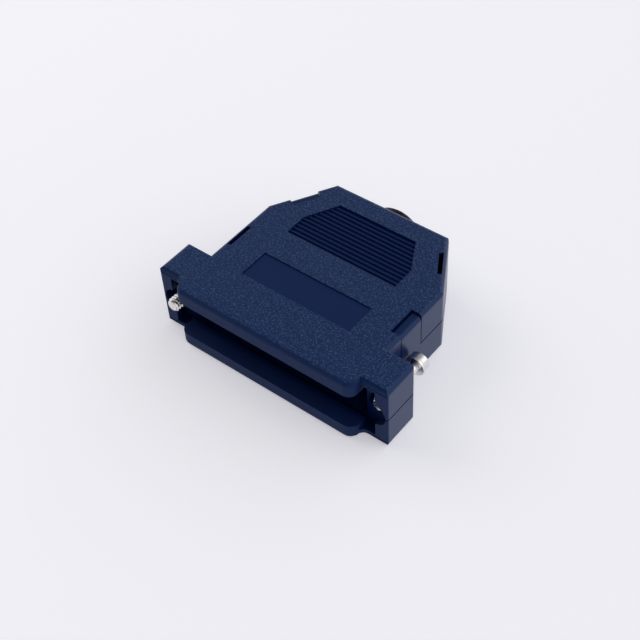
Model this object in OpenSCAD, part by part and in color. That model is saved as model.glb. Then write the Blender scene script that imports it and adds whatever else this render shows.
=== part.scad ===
// Two-piece D-sub connector hood, 25-way size: identical half shells that snap together,
// two captive jackscrews, a cable bush and a strain relief clamp.
// Frame: X across the mouth, +Y towards the cable exit, +Z up.
// Origin: on the underside, below the middle of the wings' front faces.

/* [Hood] */
// Thickness of the wings' outer walls beside the connector flange
end_wall = 0.5; // [0.4:0.05:1.5]
// Height of the closed hood
hood_h = 15.3; // [15.3:0.1:18]
// Clearance between the jackscrews' washers and the body's side walls
side_gap = 0.22; // [0.2:0.01:0.4]
// Distance from the wings' front faces to the back wall
body_d = 39.1; // [38.6:0.1:46]
// Depth of the wings
wing_d = 8.2; // [8:0.1:8.8]
// Width of the back wall, between the rear chamfers
back_w = 27.2; // [26:0.1:30]
// Depth of each rear chamfer, along the hood
chamfer_d = 13.1; // [12.6:0.1:13.6]
// Thickness of the side and back walls
wall = 2.1; // [2:0.05:2.3]
// Thickness of the top and bottom faces
floor_t = 1.7; // [1.6:0.05:2]
// Radius along the outer edges of the body
edge_r = 1; // [0.6:0.05:1.2]
// Radius along the front and side edges of the wings
wing_edge_r = 1.1; // [0.6:0.05:1.2]
// Radius of the body's side corners in plan
side_corner_r = 2; // [1.3:0.1:3]
// Radius of the body's back corners in plan
back_corner_r = 1.3; // [1.3:0.1:2.5]
// Width and depth of the groove along the parting line, on each shell
seam_groove = 0.15; // [0.05:0.05:0.25]

/* [Mouth] */
// How far the two lips stand out in front of the wings
lip_out = 2.7; // [2:0.1:4]
// Height of each lip
lip_t = 3.4; // [3:0.1:3.5]
// Radius of the lips' ends in plan
lip_corner_r = 2.05; // [1.85:0.05:2.3]
// Radius of the hollow between a lip's end and the wing
throat_r = 1.4; // [0.6:0.1:1.8]
// How far the opening in the front wall runs past the jackscrews' axes
opening_end = 0.8; // [0.2:0.05:1.5]
// Height of the opening in the front wall
opening_h = 11.9; // [11:0.1:12.3]
// Thickness of the wall in front of the connector flange
front_wall = 1.2; // [1:0.1:1.4]

/* [Connector] */
// Distance from a jackscrew's axis to the end of the connector flange
flange_end = 3; // [2.9:0.01:3.1]
// Height of the connector flange
flange_h = 12.55; // [12.3:0.05:12.6]
// Thickness of the connector flange
flange_t = 1.2; // [1:0.1:1.5]
// Clearance around the flange in its pocket
flange_gap = 0.1; // [0.05:0.01:0.12]
// Distance from a jackscrew's axis to the room for the connector's rear shell
rear_end = 2.87; // [2.8:0.01:3.5]
// Height of the connector's rear shell
rear_h = 10.9; // [10.5:0.1:11.4]
// Distance between the two jackscrews
screw_pitch = 47.04; // [46.9:0.02:47.2]

/* [Jackscrews] */
// Radius of the thread, 4-40 UNC
thread_r = 1.42; // [1.4:0.01:1.5]
// Length of the thread
thread_l = 5; // [4:0.1:7]
// Radius of the plain neck
neck_r = 1.1; // [1:0.02:1.14]
// Length of the neck, from the thread to the washer
neck_l = 6.45; // [5:0.05:8]
// Radius of the screw's head
head_r = 2; // [1.8:0.05:2.05]
// Height of the screw's head
head_l = 2.2; // [1.8:0.1:3]
// Height of the domed end of the head
head_dome = 0.8; // [0.4:0.1:1]
// Width of the screwdriver slot
slot_w = 0.7; // [0.5:0.05:0.9]
// Depth of the screwdriver slot
slot_d = 0.9; // [0.5:0.05:1.2]
// Outer radius of the washer
washer_r = 2.1; // [1.9:0.05:2.1]
// Thickness of the washer
washer_t = 0.5; // [0.4:0.05:0.8]
// Running clearance around the neck in the washer
run_gap = 0.08; // [0.05:0.01:0.1]
// End play of the washer between neck and head
washer_play = 0.1; // [0.05:0.05:0.2]
// Radius of the holes in the wings' back walls
neck_hole_r = 1.25; // [1.22:0.01:1.3]
// Thickness of the wings' back walls
wing_back = 1.2; // [1:0.1:1.5]
// Radius of the channel in the wing
channel_r = 2.7; // [2.65:0.05:2.75]
// How far the channel's axis lies outside the screw's axis
channel_out = 0.4; // [0.3:0.05:0.45]
// Gap that is left at each end of a jackscrew's travel
stop_gap = 0.15; // [0.1:0.05:0.25]
// How far the left jackscrew is pushed forward from its rear stop
left_forward = 3.35; // [0:0.05:3.4]
// How far the right jackscrew is pushed forward from its rear stop
right_forward = 0; // [0:0.05:3.4]

/* [Snap latches] */
// Length of the two side latches along the wall
side_latch_w = 6.6; // [5:0.1:7]
// Distance of the side latches from the wings' front faces
side_latch_y = 15.6; // [14.5:0.1:17]
// Length of the two chamfer latches along the wall
chamfer_latch_w = 6.2; // [5:0.1:7]
// Thickness of a latch tongue
tongue_t = 1.3; // [1.1:0.05:1.35]
// Thickness of a latch tongue across its hook
hook_t = 1.9; // [1.8:0.05:1.95]
// Height of the hook
hook_l = 1.8; // [1.4:0.1:2.2]
// Depth of the slot that takes a tongue
latch_slot_t = 2.3; // [2.2:0.05:2.5]
// Thickness of the wall left behind the slot
latch_back_t = 1.2; // [1:0.1:1.5]
// Clearance at the sides of a tongue
latch_gap = 0.22; // [0.15:0.01:0.3]
// How far the walls round the slots stop short of the other shell
backing_gap = 0.1; // [0.05:0.05:0.3]
// How far a tongue's end lies below the outer face
tongue_sink = 0.5; // [0.3:0.05:0.8]
// Outer strip that is left beside a tongue's root hole
root_strip_t = 0.7; // [0.6:0.05:0.9]
// Width of a tongue's root hole
root_hole_t = 0.9; // [0.7:0.05:1]
// How much shorter a root hole is than its latch
root_hole_trim = 0.5; // [0.4:0.1:1]

/* [Label and grip] */
// Width of the label recess
label_w = 25.7; // [20:0.1:30]
// Depth of the label recess along the hood
label_d = 7; // [5:0.1:8]
// Distance of the label recess from the wings' front faces
label_y = 7.85; // [6:0.05:10]
// Depth of the label recess into the face
label_sink = 0.25; // [0.1:0.05:0.4]
// Width of the grip recess
grip_w = 26; // [20:0.2:28]
// Width of the grip recess at its back edge
grip_back_w = 18.4; // [14:0.2:20]
// Distance of the grip recess from the wings' front faces
grip_y = 21.9; // [20:0.1:23]
// Length of the grip recess
grip_d = 12.2; // [10:0.1:13]
// Length of the grip recess's parallel sides
grip_straight = 5.2; // [3:0.1:8]
// Depth of the grip recess into the face
grip_sink = 0.6; // [0.3:0.05:0.7]
// Distance between grip ridges
ridge_pitch = 1.04; // [0.8:0.02:1.5]
// Width of a grip ridge
ridge_w = 0.56; // [0.3:0.02:0.7]
// Height of a grip ridge
ridge_h = 0.4; // [0.2:0.05:0.5]

/* [Cable bush] */
// Radius of the hole in the back wall
exit_r = 4.9; // [4:0.1:5.2]
// Clearance around the bush in the wall
bush_gap = 0.1; // [0.05:0.01:0.15]
// Radius of the bush's outer head
bush_head_r = 5.9; // [5.5:0.1:6.4]
// How far the bush stands out of the back wall
bush_out = 2.7; // [1.5:0.1:4]
// Width of the bevelled edge of the bush's head
bush_edge_r = 0.7; // [0.4:0.1:1.3]
// How much wider the bush's bore is behind its gripping rim
bush_relief = 0.4; // [0.2:0.05:0.8]
// Radius of the bush's inner flange
bush_flange_r = 5.7; // [5.4:0.05:5.7]
// Thickness of the bush's inner flange
bush_flange_t = 1.2; // [0.8:0.1:1.5]
// Radius of the cable
cable_r = 3; // [2:0.1:3.4]

/* [Strain relief clamp] */
// Distance from the back wall's inside to the middle of the clamp
clamp_back = 6; // [5.6:0.1:7]
// Width of the clamp straps along the cable
clamp_w = 6; // [4:0.1:6.4]
// Thickness of the clamp straps
strap_t = 1; // [0.8:0.05:1.2]
// How much wider the straps' saddles are than the bush's rim, in radius
saddle_spare = 0.4; // [0.3:0.05:0.8]
// Half the gap between the straps' ears
ear_gap = 0.4; // [0.2:0.05:0.6]
// Distance between the clamp's screws
clamp_pitch = 15.6; // [15.2:0.1:17]
// Radius of the clamp screws, M2.5
clamp_screw_r = 1.25; // [1.2:0.01:1.3]
// Clearance of the clamp screws in the straps and nuts
clamp_screw_gap = 0.1; // [0.05:0.01:0.15]
// Radius of the clamp screws' heads
clamp_head_r = 2.2; // [2:0.05:2.4]
// Height of the clamp screws' heads
clamp_head_l = 1.5; // [1.2:0.05:1.8]
// Width of the clamp nuts across flats
nut_af = 5; // [4.8:0.05:5]
// Thickness of the clamp nuts
nut_t = 2; // [1.6:0.05:2]
// Clearance around a nut in its pocket
nut_gap = 0.1; // [0.05:0.01:0.15]
// Wall around a nut pocket
post_wall = 0.8; // [0.6:0.05:1]

/* [Hidden] */
$fn = 64;
eps = 0.01;                                   // overlap of solids that are joined
past = 1;                                     // how far a cutter runs past a face
half_h = hood_h / 2;
flange_w = screw_pitch + 2 * flange_end;
hood_w = flange_w + 2 * (flange_gap + end_wall);
body_w = screw_pitch - 2 * (washer_r + side_gap);
opening_w = screw_pitch + 2 * opening_end;
rear_w = screw_pitch - 2 * rear_end;
chamfer_w = (body_w - back_w) / 2;
flange_y = front_wall;                        // front of the flange pocket
flange_back_y = front_wall + flange_t + 2 * flange_gap;
back_inner_y = body_d - wall;
opening_z = (hood_h - opening_h) / 2;
wing_back_y = wing_d - wing_back;             // inside of the wing's back wall
chamfer_len = norm([chamfer_w, chamfer_d]);
chamfer_turn = atan2(chamfer_w, chamfer_d);   // direction of a chamfer's outward normal
washer_rear_y = wing_back_y - stop_gap + neck_l;
clamp_y = back_inner_y - clamp_back;
ear_z = half_h - ear_gap - strap_t;           // underside of the lower strap's ears
post_r = (nut_af / 2 + nut_gap) / cos(30) + post_wall;
pocket_d = nut_t + 0.3;                       // deeper than the nut, for the screw's end
groove_h = 0.25;                              // shadow groove on the wings' front faces
wing_corner_r = 0.4;                          // radius of the wings' corners in plan
wing_rear_edge_r = 0.3;                       // radius along the wings' rear edges

// Corners of the body and lips in plan, counter-clockwise: [x, y, radius].
body_corners = [
    [-body_w / 2, -lip_out, lip_corner_r],
    [body_w / 2, -lip_out, lip_corner_r],
    [body_w / 2, body_d - chamfer_d, side_corner_r],
    [body_w / 2 - chamfer_w, body_d, back_corner_r],
    [-body_w / 2 + chamfer_w, body_d, back_corner_r],
    [-body_w / 2, body_d - chamfer_d, side_corner_r]
];

// ---- outlines with round corners ----

function xy(c) = [c[0], c[1]];
function unit(v) = v / norm(v);
function inward(a, b) = let (d = unit(b - a)) [-d[1], d[0]];
function at_corner(list, i) = xy(list[(i + len(list)) % len(list)]);
// Direction from corner i to the matching corner of an outline 1 mm further in.
function mitre(list, i) =
    let (a = inward(at_corner(list, i - 1), at_corner(list, i)),
         b = inward(at_corner(list, i), at_corner(list, i + 1)))
    (a + b) / (1 + a * b);
function inset(list, d) = [
    for (i = [0:len(list) - 1])
        let (p = at_corner(list, i) + d * mitre(list, i)) [p[0], p[1], max(list[i][2] - d, 0)]
];
function round_centre(list, i) = at_corner(list, i) + list[i][2] * mitre(list, i);
// Points where the round of corner i begins (end = -1) or ends (end = 1).
function tangent(list, i, end) =
    let (c = at_corner(list, i),
         n = end < 0 ? inward(at_corner(list, i - 1), c) : inward(c, at_corner(list, i + 1)))
    round_centre(list, i) - list[i][2] * n;

module outline(list) {
    polygon([for (i = [0:len(list) - 1]) for (end = [-1, 1]) tangent(list, i, end)]);
    for (i = [0:len(list) - 1])
        if (list[i][2] > 0)
            translate(round_centre(list, i)) circle(list[i][2]);
}

// What has to go from a corner to leave a round of radius r: X outward from the face.
module edge_waste(face_x, r) {
    translate([face_x - r, 0]) difference() {
        translate([0, -past]) square([r + past, r + past]);
        translate([0, r]) circle(r);
    }
}

// A plate of the given outline, with its lower edge rounded to radius r. The round turns
// the square corners, and is mitred at the blunt ones.
module round_edged_plate(list, height, r) {
    last = len(list) - 1;
    difference() {
        linear_extrude(height) outline(list);
        for (i = [0:last]) {
            next = (i + 1) % (last + 1);
            along = unit(at_corner(list, next) - at_corner(list, i));
            a = tangent(list, i, 1) - mitre_reach(list, i) * along;
            b = tangent(list, next, -1) + mitre_reach(list, next) * along;
            translate([a[0], a[1], 0]) rotate([90, 0, atan2(along[1], along[0]) - 90])
                translate([0, 0, -norm(b - a)]) linear_extrude(norm(b - a)) edge_waste(0, r);
        }
        for (i = [0:last])
            if (is_square(list, i))
                translate(round_centre(list, i))
                    rotate(atan2(-inward(at_corner(list, i - 1), at_corner(list, i))[1],
                                 -inward(at_corner(list, i - 1), at_corner(list, i))[0]))
                        rotate_extrude(angle = 90) edge_waste(list[i][2], r);
    }
}
function is_square(list, i) =
    abs(inward(at_corner(list, i - 1), at_corner(list, i))
        * inward(at_corner(list, i), at_corner(list, i + 1))) < eps;
function mitre_reach(list, i) = is_square(list, i) ? 0 : list[i][2] + past;

// Extrudes a Y-Z profile along X, or an X-Z profile along Y.
module along_x(x0, x1) {
    translate([x0, 0, 0]) rotate([90, 0, 90]) linear_extrude(x1 - x0) children();
}
module along_y(y0, y1) {
    translate([0, y1, 0]) rotate([90, 0, 0]) linear_extrude(y1 - y0) children();
}
module rod_along_y(r, y0, y1, x, z = half_h) {
    translate([x, y0, z]) rotate([-90, 0, 0]) cylinder(r = r, h = y1 - y0);
}
module box(x, y, z) {
    translate([x[0], y[0], z[0]]) cube([x[1] - x[0], y[1] - y[0], z[1] - z[0]]);
}

// ---- half shell, drawn as the lower one ----

module wing_bar() {
    w = hood_w / 2;
    intersection() {
        along_y(0, wing_d)
            outline([[-w, 0, wing_edge_r], [w, 0, wing_edge_r], [w, half_h, 0], [-w, half_h, 0]]);
        along_x(-w, w)
            outline([[0, 0, wing_edge_r], [wing_d, 0, wing_rear_edge_r],
                     [wing_d, half_h, 0], [0, half_h, 0]]);
        linear_extrude(half_h) outline(wing_corners());
    }
}
function wing_corners() = let (w = hood_w / 2, r = wing_corner_r)
    [[-w, 0, r], [w, 0, r], [w, wing_d, r], [-w, wing_d, r]];

// Round hollow between a lip's end and the wing's front face.
module throat(side) {
    r = throat_r;
    e = wing_edge_r;
    translate([side * (body_w / 2 + r), -r, 0])
        difference() {
            box([side > 0 ? -r - e : 0, side > 0 ? 0 : r + e], [0, r + e], [0, lip_t]);
            rotate_extrude()
                polygon([[0, lip_t + past], [r, lip_t + past],
                         for (turn = [180:30:270]) [r + e + e * cos(turn), e + e * sin(turn)],
                         [r + e, -past], [0, -past]]);
        }
}

module outer_form() {
    difference() {
        round_edged_plate(body_corners, half_h, edge_r);
        box([-body_w, body_w], [-lip_out - past, 0], [lip_t, half_h + past]);
    }
    wing_bar();
    for (side = [-1, 1]) throat(side);
}

// Groove round the parting line.
module parting_groove() {
    translate([0, 0, half_h - seam_groove])
        linear_extrude(seam_groove + past) difference() {
            translate([-hood_w, 0]) square([2 * hood_w, body_d + past]);
            outline(inset(body_corners, seam_groove));
            outline(inset(wing_corners(), seam_groove));
        }
}

// Shadow groove across the front face of each wing, under the rounded edge.
module wing_front_groove() {
    for (side = [-1, 1])
        box([side > 0 ? body_w / 2 + throat_r : -hood_w / 2 - past,
             side > 0 ? hood_w / 2 + past : -body_w / 2 - throat_r],
            [-past, seam_groove], [wing_edge_r, wing_edge_r + groove_h]);
}

// Space for the connector: the mouth, the flange pocket and the room for its rear shell.
module connector_space() {
    inner_w = body_w - 2 * wall;
    box([-opening_w / 2, opening_w / 2], [-past, flange_y + eps], [lip_t, half_h + past]);
    for (side = [-1, 1])
        box([side > 0 ? body_w / 2 : -opening_w / 2, side > 0 ? opening_w / 2 : -body_w / 2],
            [-past, flange_y + eps], [opening_z, half_h + past]);
    box([-flange_w / 2 - flange_gap, flange_w / 2 + flange_gap],
        [flange_y, flange_back_y], [half_h - flange_h / 2 - flange_gap, half_h + past]);
    box([-rear_w / 2, rear_w / 2], [flange_back_y - eps, wing_d - wing_back],
        [half_h - rear_h / 2, half_h + past]);
    translate([0, 0, floor_t]) linear_extrude(half_h) intersection() {
        outline(inset(body_corners, wall));
        translate([-inner_w / 2, wing_d - wing_back - eps]) square([inner_w, body_d]);
    }
}

module jackscrew_channels() {
    for (side = [-1, 1]) {
        rod_along_y(channel_r, -past, wing_back_y, side * (screw_pitch / 2 + channel_out));
        rod_along_y(neck_hole_r, wing_back_y - past, wing_d + past, side * screw_pitch / 2);
    }
}

// ---- snap latches: each shell has two tongues and two slots ----

// Local frame on the outer wall: X outward, Y along the wall.
module on_side(side) {
    translate([side * body_w / 2, side_latch_y, 0]) rotate(side > 0 ? 0 : 180) children();
}
module on_chamfer(side) {
    translate([side * (body_w - chamfer_w) / 2, body_d - chamfer_d / 2, 0])
        rotate(side > 0 ? chamfer_turn : 180 - chamfer_turn) children();
}

// A tongue that rises from the wall and ends in a hook near the other shell's outer face.
module tongue(length) {
    w = length - 2 * latch_gap;
    top = hood_h - tongue_sink;
    lead = hook_t - tongue_t;
    translate([0, w / 2, 0]) rotate([90, 0, 0]) linear_extrude(w) {
        difference() {
            translate([-tongue_t, half_h - floor_t]) square([tongue_t, top - half_h + floor_t]);
            translate([-edge_r, top - edge_r]) difference() {
                square([edge_r + eps, edge_r + eps]);
                circle(edge_r);
            }
        }
        polygon([[-tongue_t + eps, top], [-hook_t, top], [-hook_t, top - hook_l + lead],
                 [-tongue_t + eps, top - hook_l]]);
    }
}

// Hole beside a tongue's root, which lets the tongue bend.
module root_hole(length) {
    w = length - root_hole_trim;
    box([-root_strip_t - root_hole_t, -root_strip_t], [-w / 2, w / 2],
        [-past, half_h - floor_t]);
}

module slot_backing(length) {
    w = length + 2 * latch_back_t;
    box([-latch_slot_t - latch_back_t, -latch_slot_t + eps], [-w / 2, w / 2],
        [eps, half_h - backing_gap]);
}

module latch_slot(length) {
    box([-latch_slot_t, past], [-length / 2, length / 2], [-past, half_h + past]);
}

// The ledge behind which a hook snaps.
module slot_ledge(length) {
    z0 = tongue_sink + hook_l + stop_gap;
    out = hook_t - tongue_t;
    translate([-latch_slot_t - eps, length / 2 + eps, 0]) rotate([90, 0, 0])
        linear_extrude(length + 2 * eps)
        polygon([[0, z0 - out / 2], [latch_slot_t - hook_t + out / 2, z0],
                 [latch_slot_t - hook_t + out / 2, z0 + floor_t], [0, z0 + floor_t + out]]);
}

// ---- strain relief seats ----

module clamp_posts() {
    for (side = [-1, 1])
        translate([side * clamp_pitch / 2, clamp_y, floor_t - eps])
            cylinder(r = post_r, h = ear_z - floor_t + eps);
}

module clamp_post_pockets() {
    for (side = [-1, 1])
        translate([side * clamp_pitch / 2, clamp_y, ear_z - pocket_d])
            hexagon(nut_af + 2 * nut_gap, pocket_d + past);
}

module hexagon(across_flats, height) {
    cylinder(r = across_flats / 2 / cos(30), h = height, $fn = 6);
}

// ---- outer faces ----

module grip_outline() {
    polygon([[-grip_w / 2, grip_y], [grip_w / 2, grip_y],
             [grip_w / 2, grip_y + grip_straight], [grip_back_w / 2, grip_y + grip_d],
             [-grip_back_w / 2, grip_y + grip_d], [-grip_w / 2, grip_y + grip_straight]]);
}

module grip_ridges() {
    count = floor((grip_d - ridge_w) / ridge_pitch);
    first = grip_y + (grip_d - (count - 1) * ridge_pitch) / 2;
    slope = ridge_w / 4;
    intersection() {
        translate([0, 0, grip_sink - ridge_h]) linear_extrude(ridge_h + eps) grip_outline();
        for (i = [0:count - 1])
            along_x(-grip_w / 2, grip_w / 2)
                translate([first + i * ridge_pitch, grip_sink])
                    polygon([[-ridge_w / 2, eps], [-ridge_w / 2 + slope, -ridge_h],
                             [ridge_w / 2 - slope, -ridge_h], [ridge_w / 2, eps]]);
    }
}

module half_shell() {
    difference() {
        union() {
            difference() {
                outer_form();
                connector_space();
                parting_groove();
            }
            clamp_posts();
            on_side(-1) slot_backing(side_latch_w);
            on_chamfer(1) slot_backing(chamfer_latch_w);
        }
        jackscrew_channels();
        wing_front_groove();
        clamp_post_pockets();
        rod_along_y(exit_r, back_inner_y - past, body_d + past, 0);
        on_side(-1) latch_slot(side_latch_w);
        on_chamfer(1) latch_slot(chamfer_latch_w);
        on_side(1) root_hole(side_latch_w);
        on_chamfer(-1) root_hole(chamfer_latch_w);
        translate([0, 0, -past]) linear_extrude(past + grip_sink) grip_outline();
        box([-label_w / 2, label_w / 2], [label_y, label_y + label_d], [-past, label_sink]);
    }
    on_side(1) tongue(side_latch_w);
    on_chamfer(-1) tongue(chamfer_latch_w);
    on_side(-1) slot_ledge(side_latch_w);
    on_chamfer(1) slot_ledge(chamfer_latch_w);
    grip_ridges();
}

module lower_shell() {
    color([0.1, 0.12, 0.17]) half_shell();
}

module upper_shell() {
    color([0.1, 0.12, 0.17]) translate([0, 0, hood_h]) rotate([0, 180, 0]) half_shell();
}

// ---- jackscrews: local Z runs forward, from the washer's front face ----

module at_jackscrew(side, forward) {
    translate([side * screw_pitch / 2, washer_rear_y - forward, half_h]) rotate([90, 0, 0])
        children();
}

module jackscrew() {
    chamfer = thread_r / 4;
    under_head = washer_t + washer_play;
    color([0.8, 0.8, 0.78]) {
        translate([0, 0, -under_head]) cylinder(r = neck_r, h = under_head + neck_l);
        translate([0, 0, neck_l - eps]) cylinder(r = thread_r, h = thread_l - chamfer + eps);
        translate([0, 0, neck_l + thread_l - chamfer])
            cylinder(r1 = thread_r, r2 = thread_r - chamfer, h = chamfer);
        difference() {
            translate([0, 0, -under_head]) rotate([180, 0, 0]) rotate_extrude()
                polygon([[0, 0], [head_r, 0], [head_r, head_l - head_dome],
                         [head_r / 2, head_l], [0, head_l]]);
            translate([-head_r - past, -slot_w / 2, -under_head - head_l - past])
                cube([2 * (head_r + past), slot_w, slot_d + past]);
        }
    }
}

module washer() {
    color([0.78, 0.78, 0.76]) translate([0, 0, -washer_t]) difference() {
        cylinder(r = washer_r, h = washer_t);
        translate([0, 0, -past]) cylinder(r = neck_r + run_gap, h = washer_t + 2 * past);
    }
}

module jackscrew_left() {
    at_jackscrew(-1, left_forward) jackscrew();
}
module jackscrew_right() {
    at_jackscrew(1, right_forward) jackscrew();
}
module washer_left() {
    at_jackscrew(-1, left_forward) washer();
}
module washer_right() {
    at_jackscrew(1, right_forward) washer();
}

// ---- cable bush ----

module cable_bush() {
    out_y = body_d + bush_out;
    head_y = body_d + bush_gap / 2;
    flange_front_y = back_inner_y - bush_gap / 2 - bush_flange_t;
    color([0.06, 0.06, 0.07]) translate([0, 0, half_h]) rotate([-90, 0, 0]) rotate_extrude()
        difference() {
            union() {
                translate([0, flange_front_y]) square([bush_flange_r, bush_flange_t]);
                translate([0, flange_front_y]) square([exit_r - bush_gap, out_y - flange_front_y]);
                polygon([[0, head_y], [bush_head_r, head_y], [bush_head_r, out_y - bush_edge_r],
                         [bush_head_r - bush_edge_r, out_y], [0, out_y]]);
            }
            translate([-past, flange_front_y - past])
                square([cable_r + past, out_y - flange_front_y + 2 * past]);
            translate([0, flange_front_y - past])
                square([cable_r + bush_relief, head_y - flange_front_y + past]);
        }
}

// ---- strain relief clamp ----

// Lower strap; the upper one is the same piece turned over.
module strap() {
    saddle_r = cable_r + saddle_spare;
    ear_x = clamp_pitch / 2 + clamp_head_r + strap_t / 2;
    y = [clamp_y - clamp_w / 2, clamp_y + clamp_w / 2];
    color([0.75, 0.76, 0.78]) difference() {
        union() {
            intersection() {
                rod_along_y(saddle_r + strap_t, y[0], y[1], 0);
                box([-hood_w, hood_w], y, [0, half_h - ear_gap]);
            }
            box([-ear_x, ear_x], y, [ear_z, half_h - ear_gap]);
        }
        rod_along_y(saddle_r, y[0] - past, y[1] + past, 0);
        for (side = [-1, 1])
            translate([side * clamp_pitch / 2, clamp_y, 0])
                cylinder(r = clamp_screw_r + clamp_screw_gap, h = hood_h);
    }
}

module clamp_lower() {
    strap();
}
module clamp_upper() {
    translate([0, 0, hood_h]) rotate([0, 180, 0]) strap();
}

module clamp_screw(side) {
    head_z = hood_h - ear_z;
    tip_z = ear_z - nut_t;
    color([0.8, 0.8, 0.8]) translate([side * clamp_pitch / 2, clamp_y, 0]) difference() {
        union() {
            translate([0, 0, tip_z]) cylinder(r = clamp_screw_r, h = head_z - tip_z + eps);
            translate([0, 0, head_z]) cylinder(r = clamp_head_r, h = clamp_head_l);
        }
        translate([-clamp_head_r - past, -slot_w / 2, head_z + clamp_head_l - slot_d])
            cube([2 * (clamp_head_r + past), slot_w, slot_d + past]);
    }
}

module clamp_screw_left() {
    clamp_screw(-1);
}
module clamp_screw_right() {
    clamp_screw(1);
}

module clamp_nut(side) {
    color([0.8, 0.8, 0.8]) translate([side * clamp_pitch / 2, clamp_y, ear_z - nut_t])
        difference() {
            hexagon(nut_af, nut_t);
            translate([0, 0, -past])
                cylinder(r = clamp_screw_r + clamp_screw_gap, h = nut_t + 2 * past);
        }
}

module clamp_nut_left() {
    clamp_nut(-1);
}
module clamp_nut_right() {
    clamp_nut(1);
}

lower_shell();
upper_shell();
jackscrew_left();
jackscrew_right();
washer_left();
washer_right();
cable_bush();
clamp_lower();
clamp_upper();
clamp_screw_left();
clamp_screw_right();
clamp_nut_left();
clamp_nut_right();
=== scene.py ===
"""Finishes for a snap-together D-sub hood: plastic, nickel screws, rubber bush, plated clamp and studio."""

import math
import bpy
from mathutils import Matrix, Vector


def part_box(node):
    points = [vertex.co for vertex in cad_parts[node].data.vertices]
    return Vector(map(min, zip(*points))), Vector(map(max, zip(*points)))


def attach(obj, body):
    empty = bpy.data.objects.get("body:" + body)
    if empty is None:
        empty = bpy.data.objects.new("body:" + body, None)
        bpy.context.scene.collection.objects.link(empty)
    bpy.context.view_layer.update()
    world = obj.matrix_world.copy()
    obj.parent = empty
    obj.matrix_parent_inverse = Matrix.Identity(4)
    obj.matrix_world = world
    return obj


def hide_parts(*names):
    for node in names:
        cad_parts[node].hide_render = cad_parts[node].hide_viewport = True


bl_info = {
    "name": "D-sub hood finishes",
    "version": (1, 0, 0),
    "blender": (4, 5, 0),
    "location": "View3D > Sidebar > D-sub Hood",
    "description": "Dresses the moulded shells, the jackscrews, the cable bush and the strain relief clamp",
    "category": "Object",
}

import bmesh
import bpy
from bpy.props import FloatProperty, FloatVectorProperty, IntProperty, PointerProperty
from mathutils import Matrix, Vector

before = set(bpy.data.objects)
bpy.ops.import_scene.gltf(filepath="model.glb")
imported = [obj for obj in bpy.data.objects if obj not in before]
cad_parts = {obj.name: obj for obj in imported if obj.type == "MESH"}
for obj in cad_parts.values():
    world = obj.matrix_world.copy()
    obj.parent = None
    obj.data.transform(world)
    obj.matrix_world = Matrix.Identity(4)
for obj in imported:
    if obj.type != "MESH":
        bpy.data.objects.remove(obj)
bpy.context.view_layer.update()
MM = 0.001
SHELLS = ("lower_shell", "upper_shell")
SIDES = ("left", "right")
HOOD_LOW, HOOD_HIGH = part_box("lower_shell")[0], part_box("upper_shell")[1]

# jackscrews
THREAD_ROWS = 12  # rows of faces along one pitch
THREAD_LEAD_IN, THREAD_RUN_OUT = 0.5, 0.6  # in pitches
ROOT_FLAT, FLANK = 0.12, 0.72  # shares of half a pitch
NECK_BEVEL = 0.12 * MM
HEAD_BEVEL = 0.12 * MM
DOME_FOOT = 0.05 * MM
DOME_ROWS = 10
WASHER_GAP = 0.1 * MM

# room
FLOOR_SIZE = 12.0
FLOOR_DROP = 0.02 * MM
OVERHEAD = (-0.42, 0.05, 0.906)  # where the room is dimmest
OVERHEAD_SHARE, FRONT_SHARE = 0.2, 0.15  # of the even light
KEY_PLACE, KEY_AIM, KEY_SIZE = (-0.80, -0.05, 0.62), (0, 0.015, 0), 0.7


# ---- settings ----


class HoodPlastic(bpy.types.PropertyGroup):
    """The moulded shells' colour and grain."""

    colour: FloatVectorProperty(
        name="Colour", description="Colour of the moulded plastic", subtype="COLOR",
        size=3, min=0, max=1, default=(0.0020, 0.0135, 0.083),
    )
    grain_size: FloatProperty(
        name="Grain size", description="Width of one bump of the spark-eroded grain",
        default=0.32 * MM, min=0.05 * MM, unit="LENGTH", precision=5,
    )
    grain_height: FloatProperty(
        name="Grain height", description="Height of the grain on the large faces",
        default=0.05 * MM, min=0, unit="LENGTH", precision=5,
    )
    face_roughness: FloatProperty(
        name="Grained roughness", description="Roughness of the grained large faces",
        default=0.48, min=0, max=1,
    )
    side_roughness: FloatProperty(
        name="Smooth roughness", description="Roughness of the side walls, edges and recesses",
        default=0.30, min=0, max=1,
    )
    front_roughness: FloatProperty(
        name="Front roughness", description="Roughness of the faces at the mouth",
        default=0.66, min=0, max=1,
    )


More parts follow.
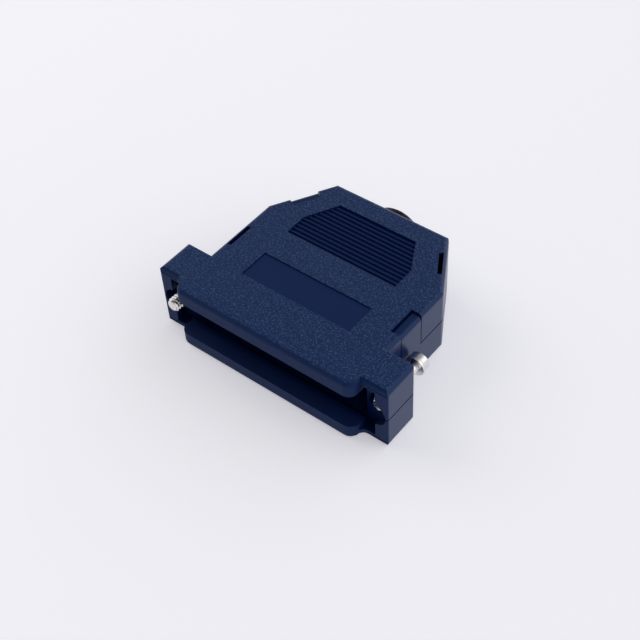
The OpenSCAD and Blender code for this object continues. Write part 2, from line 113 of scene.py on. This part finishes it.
class HoodMetal(bpy.types.PropertyGroup):
    """The screws' sizes and the plated finishes."""

    nickel: FloatVectorProperty(
        name="Nickel", description="Colour of the nickel plate", subtype="COLOR",
        size=3, min=0, max=1, default=(0.84, 0.81, 0.81),
    )
    nickel_roughness: FloatProperty(
        name="Nickel roughness", description="Least roughness of the nickel plate",
        default=0.10, min=0, max=1,
    )
    zinc: FloatVectorProperty(
        name="Zinc", description="Colour of the clamp's zinc plate", subtype="COLOR",
        size=3, min=0, max=1, default=(0.62, 0.64, 0.66),
    )
    zinc_roughness: FloatProperty(
        name="Zinc roughness", description="Least roughness of the zinc plate",
        default=0.3, min=0, max=1,
    )
    thread_pitch: FloatProperty(
        name="Thread pitch", description="Pitch of the 4-40 UNC thread",
        default=0.635 * MM, min=0.3 * MM, unit="LENGTH", precision=5,
    )
    thread_depth: FloatProperty(
        name="Thread depth", description="Depth of the thread below its crest",
        default=0.34 * MM, min=0.05 * MM, unit="LENGTH", precision=5,
    )
    thread_radius: FloatProperty(
        name="Thread radius", description="Radius of the thread at its crest",
        default=1.42 * MM, min=1.0 * MM, unit="LENGTH", precision=5,
    )
    thread_length: FloatProperty(
        name="Thread length", description="Length of the threaded end",
        default=5.0 * MM, min=2.0 * MM, unit="LENGTH", precision=5,
    )
    neck_radius: FloatProperty(
        name="Neck radius", description="Radius of the plain neck",
        default=1.1 * MM, min=0.5 * MM, unit="LENGTH", precision=5,
    )
    dome_height: FloatProperty(
        name="Dome height", description="Height of the head's dome",
        default=0.8 * MM, min=0.1 * MM, unit="LENGTH", precision=5,
    )
    slot_width: FloatProperty(
        name="Slot width", description="Width of the head's slot",
        default=0.7 * MM, min=0.2 * MM, unit="LENGTH", precision=5,
    )
    slot_depth: FloatProperty(
        name="Slot depth", description="Depth of the head's slot",
        default=0.9 * MM, min=0.2 * MM, unit="LENGTH", precision=5,
    )
    steps: IntProperty(name="Steps", description="Steps round a turned piece", default=64, min=16, max=256)


class HoodRubber(bpy.types.PropertyGroup):
    """The cable bush's finish."""

    colour: FloatVectorProperty(
        name="Rubber", description="Colour of the rubber", subtype="COLOR",
        size=3, min=0, max=1, default=(0.011, 0.008, 0.018),
    )
    shade: FloatVectorProperty(
        name="Dark rubber", description="Colour of the rubber where it is darker", subtype="COLOR",
        size=3, min=0, max=1, default=(0.006, 0.004, 0.011),
    )


class HoodStage(bpy.types.PropertyGroup):
    """Floor, lamp and camera."""

    floor: FloatVectorProperty(
        name="Floor", description="Colour of the floor", subtype="COLOR",
        size=3, min=0, max=1, default=(0.80, 0.80, 0.83),
    )
    backdrop: FloatProperty(
        name="Backdrop", description="White added to the floor where it is seen",
        default=0.40, min=0, max=1,
    )
    wall: FloatProperty(
        name="Wall", description="White of the room's far wall where it is seen",
        default=0.92, min=0, max=1,
    )
    sky: FloatProperty(
        name="Sky", description="Strength of the even light all round", default=1.36, min=0,
    )
    key: FloatProperty(
        name="Key lamp", description="Power of the large soft lamp",
        default=2.2, min=0, subtype="POWER", unit="POWER",
    )
    azimuth: FloatProperty(
        name="Azimuth", description="Direction that the camera looks in, from +Y towards -X",
        default=math.radians(40.771), subtype="ANGLE",
    )
    elevation: FloatProperty(
        name="Elevation", description="Height of the camera above the horizon",
        default=math.radians(47.011), subtype="ANGLE",
    )
    roll: FloatProperty(
        name="Roll", description="Turn of the camera about its view",
        default=math.radians(-3.745), subtype="ANGLE",
    )
    distance: FloatProperty(
        name="Distance", description="Distance of the camera from its target",
        default=236.46 * MM, unit="LENGTH", precision=4,
    )
    target: FloatVectorProperty(
        name="Target", description="Point that the camera looks at", size=3,
        subtype="TRANSLATION", unit="LENGTH", default=(2.234 * MM, 12.33 * MM, 7.743 * MM), precision=4,
    )
    lens: FloatProperty(name="Lens", description="Focal length of the camera", default=69.51, min=10)


# ---- materials ----


class Nodes:
    """A short way to build the nodes of a material or a world."""

    def __init__(self, owner):
        owner.use_nodes = True
        self.owner = owner
        self.tree = owner.node_tree
        solid = isinstance(owner, bpy.types.Material)
        self.shader = self.tree.nodes["Principled BSDF" if solid else "Background"]

    def add(self, kind, inputs=None, **settings):
        """A new node with the given settings and inputs."""
        node = self.tree.nodes.new(kind)
        for key, value in settings.items():
            setattr(node, key, value)
        for key, value in (inputs or {}).items():
            self.put(node.inputs[key], value)
        return node

    def put(self, socket, value):
        """Links an output to the socket, or sets the socket's own value."""
        if isinstance(value, bpy.types.NodeSocket):
            self.tree.links.new(value, socket)
        else:
            socket.default_value = value

    def finish(self, **values):
        """Fills the shader's sockets, named with underscores for spaces."""
        for name, value in values.items():
            self.put(self.shader.inputs[name.replace("_", " ")], value)
        return self.owner

    def math(self, operation, a, b=None):
        node = self.add("ShaderNodeMath", operation=operation)
        for socket, value in zip(node.inputs, (a, b)):
            if value is not None:
                self.put(socket, value)
        return node.outputs[0]

    def mix(self, factor, a, b):
        """A blend of two numbers, or of two colours given as tuples or colour outputs."""
        coloured = any(isinstance(value, tuple) or getattr(value, "type", "") == "RGBA" for value in (a, b))
        node = self.add("ShaderNodeMix", data_type="RGBA" if coloured else "FLOAT")
        first, result = (6, 2) if coloured else (2, 0)
        for number, value in ((0, factor), (first, a), (first + 1, b)):
            self.put(node.inputs[number], value)
        return node.outputs[result]

    def step(self, value, low, high, start=0.0, end=1.0):
        """A smooth rise from start to end while the value goes from low to high."""
        limits = {"Value": value, "From Min": low, "From Max": high, "To Min": start, "To Max": end}
        return self.add("ShaderNodeMapRange", limits, interpolation_type="SMOOTHSTEP").outputs[0]

    def noise(self, vector, size, detail, roughness):
        values = {"Vector": vector, "Scale": 1 / size, "Detail": detail, "Roughness": roughness}
        return self.add("ShaderNodeTexNoise", values).outputs["Fac"]

    def bump(self, height, distance, strength, normal=None):
        node = self.add("ShaderNodeBump", {"Height": height, "Distance": distance, "Strength": strength})
        if normal is not None:
            self.put(node.inputs["Normal"], normal)
        return node.outputs[0]

    def axis(self, vector, name):
        return self.add("ShaderNodeSeparateXYZ", {"Vector": vector}).outputs[name]

    def coordinates(self, kind):
        return self.add("ShaderNodeTexCoord").outputs[kind]

    def looked_at(self):
        """1 where it is seen, straight, in a reflection or through glass, and 0 for the light it gives."""
        rays = self.add("ShaderNodeLightPath").outputs
        seen = self.math("MAXIMUM", rays["Is Camera Ray"], rays["Is Glossy Ray"])
        return self.math("MAXIMUM", seen, rays["Is Transmission Ray"])


def moulded_plastic(plastic):
    """Dark moulding: fine grain on the two large faces with painted highlights on the grain's tops, smooth
    on walls and recesses, matt at the mouth.
    """
    n = Nodes(bpy.data.materials.new("moulded_plastic"))
    point = n.coordinates("Object")
    middle, half = (HOOD_LOW.z + HOOD_HIGH.z) / 2, (HOOD_HIGH.z - HOOD_LOW.z) / 2
    away = n.math("ABSOLUTE", n.math("SUBTRACT", n.axis(point, "Z"), middle))
    face = n.step(away, half - 0.16 * MM, half - 0.06 * MM)
    mouth = n.step(n.axis(point, "Y"), 0.5 * MM, 0.05 * MM)
    grain = n.noise(point, plastic.grain_size, 3.0, 0.6)
    pits = n.noise(point, plastic.grain_size * 3.1, 2.0, 0.5)
    height = n.math("MULTIPLY", n.math("ADD", grain, n.math("MULTIPLY", pits, 0.5)), face)
    fine = n.noise(point, 0.9 * MM, 4.0, 0.7)
    normal = n.bump(height, plastic.grain_height, 1.0, n.bump(fine, 0.004 * MM, 0.5))
    # painted highlight: the tops of the grain on the large faces get a much paler colour that stands in for
    # the glints of light on them
    r, g, b = plastic.colour
    dark, painted_glint = (r, g, b, 1), (r * 18.0, g * 6.0, b * 2.5, 1)
    colour = n.mix(face, dark, n.mix(n.step(grain, 0.48, 0.66), dark, painted_glint))
    rough = n.mix(face, plastic.side_roughness, plastic.face_roughness)
    rough = n.mix(mouth, rough, plastic.front_roughness)
    rough = n.math("ADD", rough, n.math("MULTIPLY", n.math("SUBTRACT", fine, 0.5), 0.12))
    return n.finish(
        Base_Color=colour, Roughness=rough, Normal=normal,
        Specular_IOR_Level=0.38, Specular_Tint=(0.52, 0.78, 1.0, 1),
    )


def plated_metal(name, colour, roughness):
    """Plate over turned or pressed steel, with faint tool marks."""
    n = Nodes(bpy.data.materials.new(name))
    point = n.coordinates("Object")
    stretched = n.add("ShaderNodeMapping", {"Vector": point, "Scale": (0.25, 4.0, 0.25)}).outputs[0]
    marks = n.noise(stretched, 0.3 * MM, 3.0, 0.6)
    cloud = n.noise(point, 1.3 * MM, 3.0, 0.6)
    r, g, b = colour
    return n.finish(
        Base_Color=n.mix(n.step(cloud, 0.3, 0.7), (r * 0.9, g * 0.9, b * 0.88, 1), (r, g, b, 1)),
        Metallic=1.0,
        Roughness=n.math("ADD", roughness, n.math("MULTIPLY", cloud, 0.12)),
        Normal=n.bump(marks, 0.004 * MM, 0.6),
    )


def bush_rubber(rubber):
    """Blue-black rubber with a slight shine."""
    n = Nodes(bpy.data.materials.new("bush_rubber"))
    cloud = n.noise(n.coordinates("Object"), 1.6 * MM, 4.0, 0.6)
    return n.finish(
        Base_Color=n.mix(n.step(cloud, 0.3, 0.7), (*rubber.shade, 1), (*rubber.colour, 1)),
        Roughness=n.math("ADD", 0.26, n.math("MULTIPLY", cloud, 0.16)),
        Normal=n.bump(cloud, 0.01 * MM, 0.5),
        Specular_IOR_Level=0.3, Specular_Tint=(0.75, 0.75, 1.0, 1),
    )


def wear(obj, material):
    """Gives the whole object one material."""
    if not obj.material_slots:
        obj.data.materials.append(material)
    for slot in obj.material_slots:
        slot.material = material


# ---- meshes ----


def new_piece(name, mesh, material, body, slot, *replaced):
    """Links a finished mesh as a named piece that rides on a body and stands for CAD nodes."""
    mesh.set_sharp_from_angle(angle=math.radians(32))
    obj = bpy.data.objects.new(name, mesh)
    bpy.context.scene.collection.objects.link(obj)
    wear(obj, material)
    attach(obj, body)
    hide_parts(*replaced)
    return obj


def finished_mesh(name, bm, matrix):
    """Turns a bmesh into a mesh placed by the matrix, with outward normals."""
    bmesh.ops.remove_doubles(bm, verts=bm.verts, dist=1e-8)
    bmesh.ops.recalc_face_normals(bm, faces=bm.faces)
    bmesh.ops.transform(bm, matrix=matrix, verts=bm.verts)
    mesh = bpy.data.meshes.new(name)
    bm.to_mesh(mesh)
    bm.free()
    mesh.shade_smooth()
    return mesh


def carved(mesh, cutter_bm, matrix):
    """The mesh with the cutter's volume taken out."""
    cutter_mesh = finished_mesh("cutter", cutter_bm, matrix)
    cutter = bpy.data.objects.new("cutter", cutter_mesh)
    work = bpy.data.objects.new("work", mesh)
    for obj in (cutter, work):
        bpy.context.scene.collection.objects.link(obj)
    cut = work.modifiers.new("slot", "BOOLEAN")
    cut.operation, cut.object, cut.solver = "DIFFERENCE", cutter, "EXACT"
    result = bpy.data.meshes.new_from_object(work.evaluated_get(bpy.context.evaluated_depsgraph_get()))
    for obj in (cutter, work):
        bpy.data.objects.remove(obj)
    bpy.data.meshes.remove(cutter_mesh)
    return result


def ring(bm, radii, height):
    """One vertex for each radius, evenly turned about Z."""
    turn = 2 * math.pi / len(radii)
    return [
        bm.verts.new((radius * math.cos(turn * k), radius * math.sin(turn * k), height))
        for k, radius in enumerate(radii)
    ]


def join(bm, a, b):
    """Faces between two rings, either of which may be a pole of one vertex."""
    for k in range(max(len(a), len(b))):
        j = k + 1
        corners = (a[k % len(a)], a[j % len(a)], b[j % len(b)], b[k % len(b)])
        bm.faces.new(tuple(dict.fromkeys(corners)))


def thread_profile(turn):
    """Height of a rounded V thread's flank, 0 at the root and 1 at the crest, over one turn."""
    rise = 1 - abs(2 * (turn % 1.0) - 1)
    return min(1.0, max(0.0, (rise - ROOT_FLAT) / FLANK))


def head_profile(metal, radius, under, top):
    """Radius and height of the domed head's outline, from its underside to below the pole."""
    dome = metal.dome_height
    shoulder = top - dome
    ball = (radius * radius + dome * dome) / (2 * dome)
    outline = [(radius - HEAD_BEVEL, under), (radius, under + HEAD_BEVEL), (radius, shoulder - DOME_FOOT)]
    for k in range(DOME_ROWS):
        rise = dome * math.sin(math.pi / 2 * k / DOME_ROWS)
        outline.append((math.sqrt(max(0.0, ball * ball - (ball - dome + rise) ** 2)), shoulder + rise))
    return outline


def jackscrew_mesh(name, metal, screw, washer):
    """A jackscrew along Y: threaded tip at low y, plain neck, domed slotted head at high y."""
    low, high = screw
    bm = bmesh.new()
    pitch, depth, length = metal.thread_pitch, metal.thread_depth, metal.thread_length
    root_r = metal.thread_radius - depth
    rows = int(length / pitch * THREAD_ROWS)
    previous = [bm.verts.new((0, 0, 0))]
    for i in range(rows + 1):
        y = length * i / rows
        ends = max(0.0, min(1.0, y / (THREAD_LEAD_IN * pitch), (length - y) / (THREAD_RUN_OUT * pitch)))
        radii = [
            root_r + depth * thread_profile(y / pitch - k / metal.steps) * ends for k in range(metal.steps)
        ]
        row = ring(bm, radii, y)
        join(bm, previous, row)
        previous = row
    under, top = washer[1].y + WASHER_GAP - low.y, high.y - low.y
    head_r = (high.x - low.x) / 2
    outline = [(metal.neck_radius, length + NECK_BEVEL), (metal.neck_radius, under)]
    for radius, height in outline + head_profile(metal, head_r, under, top):
        row = ring(bm, [radius] * metal.steps, height)
        join(bm, previous, row)
        previous = row
    join(bm, previous, [bm.verts.new((0, 0, top))])
    axis = Vector(((low.x + high.x) / 2, 0, (low.z + high.z) / 2))
    along_y = Matrix.Rotation(math.radians(-90), 4, "X")
    mesh = finished_mesh(name, bm, Matrix.Translation(axis + Vector((0, low.y, 0))) @ along_y)
    cutter = bmesh.new()
    bmesh.ops.create_cube(cutter, size=1.0)
    size = Matrix.Diagonal((head_r * 3, 2 * metal.slot_depth, metal.slot_width, 1))
    return carved(mesh, cutter, Matrix.Translation(axis + Vector((0, high.y, 0))) @ size)


# ---- room ----


def pale_floor(stage):
    """A wide matt floor just under the hood, which still takes its shadow."""
    n = Nodes(bpy.data.materials.new("pale_floor"))
    n.finish(
        Base_Color=(*stage.floor, 1), Roughness=0.9, Specular_IOR_Level=0.1,
        Emission_Color=(0.96, 0.95, 1.0, 1),
        Emission_Strength=n.math("MULTIPLY", n.looked_at(), stage.backdrop),
    )
    bm = bmesh.new()
    bmesh.ops.create_grid(bm, x_segments=1, y_segments=1, size=FLOOR_SIZE)
    mesh = finished_mesh("floor", bm, Matrix.Translation((0, 0, -FLOOR_DROP)))
    floor = bpy.data.objects.new("floor", mesh)
    bpy.context.scene.collection.objects.link(floor)
    wear(floor, n.owner)


def studio_world(stage):
    """Even light all round, dim overhead and in front of the mouth, with a pale wall at the horizon."""
    n = Nodes(bpy.data.worlds.new("studio"))
    direction = n.coordinates("Generated")
    towards = n.add("ShaderNodeVectorMath", {0: direction, 1: OVERHEAD}, operation="DOT_PRODUCT")
    above = n.step(towards.outputs["Value"], 0.3, 0.85, stage.sky, OVERHEAD_SHARE * stage.sky)
    front = n.step(n.axis(direction, "Y"), -0.9, 0.2, FRONT_SHARE, 1.0)
    light = n.math("MULTIPLY", above, front)
    wall = n.math("MULTIPLY", n.step(n.axis(direction, "Z"), 0.35, 0.15), n.looked_at())
    return n.finish(Color=(0.96, 0.97, 1.0, 1), Strength=n.mix(wall, light, stage.wall))


def soft_lamp(name, power, size, place, aim, colour):
    """A square area lamp that faces a point."""
    lamp = bpy.data.lights.new(name, "AREA")
    lamp.energy, lamp.size, lamp.color = power, size, colour
    obj = bpy.data.objects.new(name, lamp)
    obj.location = place
    obj.rotation_euler = (Vector(aim) - Vector(place)).to_track_quat("-Z", "Y").to_euler()
    bpy.context.scene.collection.objects.link(obj)


def view_matrix(stage):
    """The camera's placement from its azimuth, elevation, roll, distance and target."""
    az, el = stage.azimuth, stage.elevation
    forward = Vector((-math.sin(az) * math.cos(el), math.cos(az) * math.cos(el), -math.sin(el)))
    right = Vector((math.cos(az), math.sin(az), 0))
    up = right.cross(forward)
    c, s = math.cos(stage.roll), math.sin(stage.roll)
    x_axis, y_axis = c * right + s * up, -s * right + c * up
    turn = Matrix((x_axis, y_axis, -forward)).transposed().to_4x4()
    return Matrix.Translation(Vector(stage.target) - stage.distance * forward) @ turn


# ---- operators ----


class HOOD_OT_shells(bpy.types.Operator):
    """Gives the two half shells their moulded plastic"""

    bl_idname = "hood.shells"
    bl_label = "Shells"

    def execute(self, context):
        plastic = moulded_plastic(context.scene.hood_plastic)
        for node in SHELLS:
            wear(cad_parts[node], plastic)
        return {"FINISHED"}


class HOOD_OT_jackscrews(bpy.types.Operator):
    """Makes the two threaded jackscrews with their slotted heads"""

    bl_idname = "hood.jackscrews"
    bl_label = "Jackscrews"

    def execute(self, context):
        metal = context.scene.hood_metal
        nickel = plated_metal("nickel_plate", metal.nickel, metal.nickel_roughness)
        for side in SIDES:
            node, washer = f"jackscrew_{side}", f"washer_{side}"
            mesh = jackscrew_mesh(f"{node}_turned", metal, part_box(node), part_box(washer))
            new_piece(f"{node}_turned", mesh, nickel, f"{side}_screw", "nickel", node)
            wear(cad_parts[washer], nickel)
        return {"FINISHED"}


class HOOD_OT_bush(bpy.types.Operator):
    """Gives the cable bush its dark rubber"""

    bl_idname = "hood.bush"
    bl_label = "Cable bush"

    def execute(self, context):
        wear(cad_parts["cable_bush"], bush_rubber(context.scene.hood_rubber))
        return {"FINISHED"}


class HOOD_OT_clamp(bpy.types.Operator):
    """Gives the strain relief clamp its zinc plate"""

    bl_idname = "hood.clamp"
    bl_label = "Strain relief clamp"

    def execute(self, context):
        metal = context.scene.hood_metal
        zinc = plated_metal("zinc_plate", metal.zinc, metal.zinc_roughness)
        for name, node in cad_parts.items():
            if name.startswith("clamp_"):
                wear(node, zinc)
        return {"FINISHED"}


class HOOD_OT_stage(bpy.types.Operator):
    """Sets up the pale floor, the soft lamp and the camera"""

    bl_idname = "hood.stage"
    bl_label = "Stage"

    def execute(self, context):
        scene = context.scene
        stage = scene.hood_stage
        pale_floor(stage)
        scene.world = studio_world(stage)
        soft_lamp("key", stage.key, KEY_SIZE, KEY_PLACE, KEY_AIM, (1.0, 0.99, 0.98))
        camera = bpy.data.objects.new("camera", bpy.data.cameras.new("camera"))
        camera.data.lens = stage.lens
        camera.data.clip_start = 0.01
        camera.matrix_world = view_matrix(stage)
        scene.collection.objects.link(camera)
        scene.camera = camera
        scene.view_settings.view_transform = "Standard"
        return {"FINISHED"}


class HOOD_PT_panel(bpy.types.Panel):
    """Lists the hood's pieces and settings"""

    bl_idname = "HOOD_PT_panel"
    bl_label = "D-sub Hood"
    bl_space_type = "VIEW_3D"
    bl_region_type = "UI"
    bl_category = "D-sub Hood"

    def draw(self, context):
        for group, (title, _) in SETTINGS.items():
            box = self.layout.box()
            box.label(text=title)
            settings = getattr(context.scene, group)
            for key in settings.__annotations__:
                box.prop(settings, key)
        for operator in OPERATORS:
            self.layout.operator(operator.bl_idname)


SETTINGS = {
    "hood_plastic": ("Plastic", HoodPlastic),
    "hood_metal": ("Metal", HoodMetal),
    "hood_rubber": ("Rubber", HoodRubber),
    "hood_stage": ("Stage", HoodStage),
}
OPERATORS = (HOOD_OT_shells, HOOD_OT_jackscrews, HOOD_OT_bush, HOOD_OT_clamp, HOOD_OT_stage)
CLASSES = (*(group for _, group in SETTINGS.values()), *OPERATORS, HOOD_PT_panel)


def register():
    """Registers the settings, operators and panel."""
    for cls in CLASSES:
        bpy.utils.register_class(cls)
    for name, (_, group) in SETTINGS.items():
        setattr(bpy.types.Scene, name, PointerProperty(type=group))


def unregister():
    """Takes everything that register() added away again."""
    for name in SETTINGS:
        delattr(bpy.types.Scene, name)
    for cls in reversed(CLASSES):
        bpy.utils.unregister_class(cls)


def main():
    """Makes every piece."""
    register()
    bpy.ops.hood.shells()
    bpy.ops.hood.jackscrews()
    bpy.ops.hood.bush()
    bpy.ops.hood.clamp()
    bpy.ops.hood.stage()
    bpy.context.view_layer.update()


if __name__ == "__main__":
    main()
